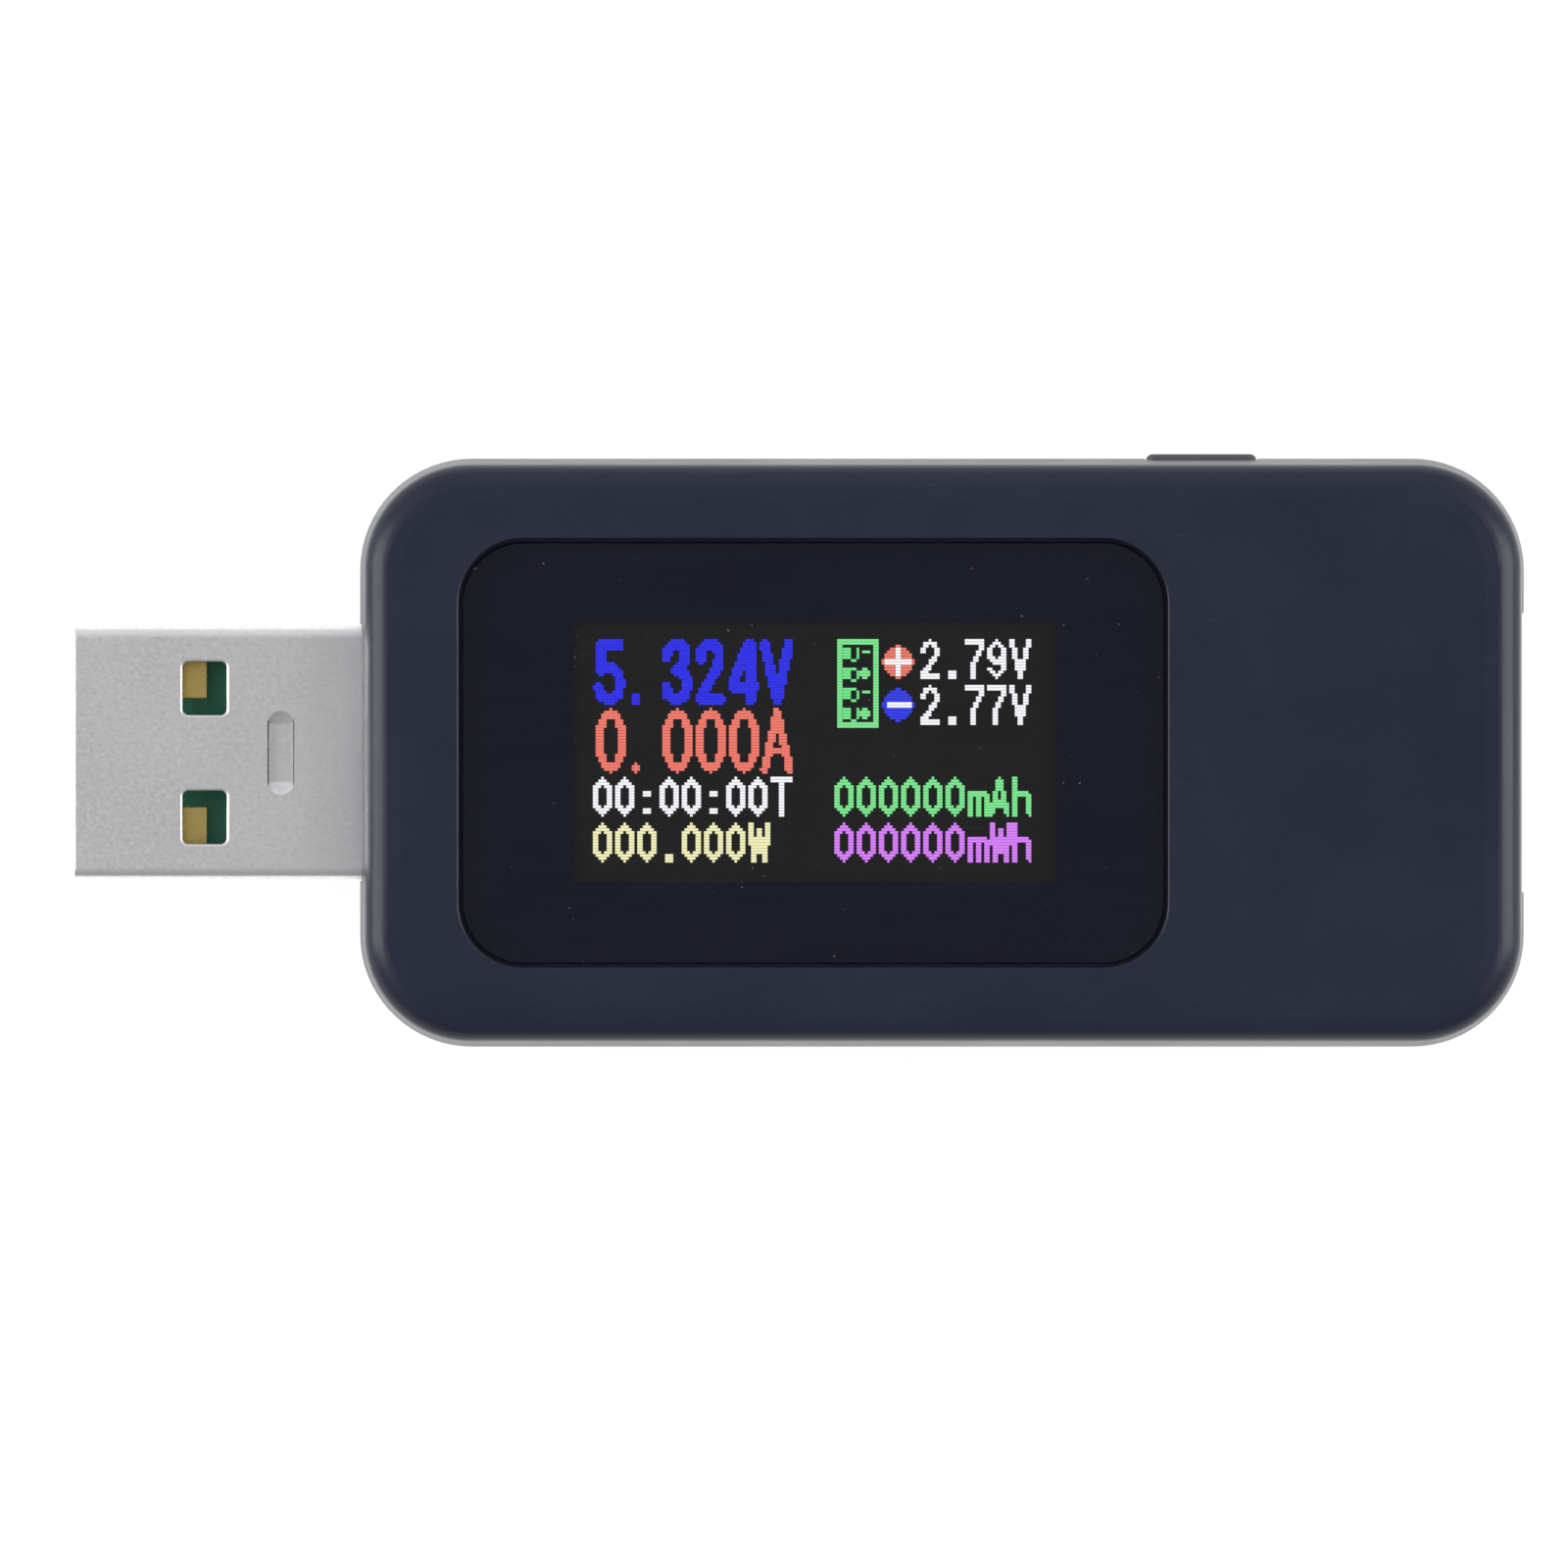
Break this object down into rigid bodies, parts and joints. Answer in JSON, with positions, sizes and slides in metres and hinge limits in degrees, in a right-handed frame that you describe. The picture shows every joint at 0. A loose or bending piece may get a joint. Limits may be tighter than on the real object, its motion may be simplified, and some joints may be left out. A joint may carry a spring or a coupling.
{
  "type": "usb power meter",
  "caption": "Pocket in-line USB power meter: black rounded case, USB-A plug at one end and socket at the other, lit colour display under a flush window, side push button.",
  "frame": {"origin": "under the middle of the whole object, plug included, on the plane that its back rests on", "axes": "+X from the plug to the socket, +Y towards the button, +Z out of the display"},
  "size_m": [0.0687, 0.0281, 0.013],
  "materials": {
    "case_black": "fine semi-matt black ABS",
    "button_grey": "satin dark grey ABS",
    "lens_smoke": "polished clear acrylic",
    "print_black": "screen-printed black ink",
    "tape_clear": "adhesive tape",
    "foam_black": "black foam",
    "polariser_dark": "dark film",
    "pane": "clear display glass",
    "guide_clear": "clear acrylic light guide",
    "frame_white": "white polycarbonate",
    "flex_amber": "amber polyimide",
    "silicon": "bare silicon",
    "shell_nickel": "nickel-plated steel",
    "insulator_green": "dark green thermoplastic",
    "insulator_black": "black thermoplastic",
    "contact_gold": "gold-plated",
    "switch_black": "black thermoplastic",
    "switch_steel": "tinned steel",
    "dome_steel": "stainless spring steel",
    "lead_tin": "tin plate",
    "board_green": "green solder mask on glass epoxy",
    "chip_black": "moulded epoxy",
    "shunt_alloy": "copper-nickel alloy",
    "ferrite": "ferrite",
    "tantalum_yellow": "moulded yellow",
    "ceramic_tan": "fired ceramic",
    "resistor_black": "glazed",
    "label_silver": "blank matt film label"
  },
  "bodies": {
    "meter": {"front_shell": "case_black", "back_shell": "case_black", "back_label": "label_silver", "display_window": "lens_smoke", "window_mask": "print_black", "window_tape": "tape_clear", "display_gasket": "foam_black", "display_polariser": "polariser_dark", "display_filter_glass": "pane", "display_lower_glass": "pane", "display_driver": "silicon", "display_light_guide": "guide_clear", "display_frame": "frame_white", "display_tape": "tape_clear", "display_flex": "flex_amber", "usb_plug_shell": "shell_nickel", "usb_plug_insulator": "insulator_green", "usb_socket_shell": "shell_nickel", "usb_socket_insulator": "insulator_black", "switch_base": "switch_black", "switch_cover": "switch_steel", "switch_dome": "dome_steel", "switch_terminals": "lead_tin", "main_board": "board_green", "microcontroller": "chip_black", "microcontroller_leads": "lead_tin", "memory_chip": "chip_black", "memory_chip_leads": "lead_tin", "sense_amplifier": "chip_black", "sense_amplifier_leads": "lead_tin", "voltage_regulator": "chip_black", "voltage_regulator_tabs": "lead_tin", "current_shunt": "shunt_alloy", "power_inductor": "ferrite", "tantalum_capacitor": "tantalum_yellow", "clock_crystal": "lead_tin", "protection_diode": "chip_black", "ceramic_capacitors": "ceramic_tan", "chip_resistors": "resistor_black", "plug_contact_vbus": "contact_gold", "socket_contact_vbus": "contact_gold", "plug_contact_data_minus": "contact_gold", "socket_contact_data_minus": "contact_gold", "plug_contact_data_plus": "contact_gold", "socket_contact_data_plus": "contact_gold", "plug_contact_ground": "contact_gold", "socket_contact_ground": "contact_gold"},
    "button": {"side_button": "button_grey", "switch_plunger": "switch_black"}
  },
  "joints": [
    {"name": "button_press", "type": "slide", "parent": "meter", "child": "button", "axis": [0, -1, 0], "range_m": [0, 0.0003], "stiffness_N_per_m": 3000, "springref_m": -0.0002, "deforming": ["switch_dome"]}
  ]
}
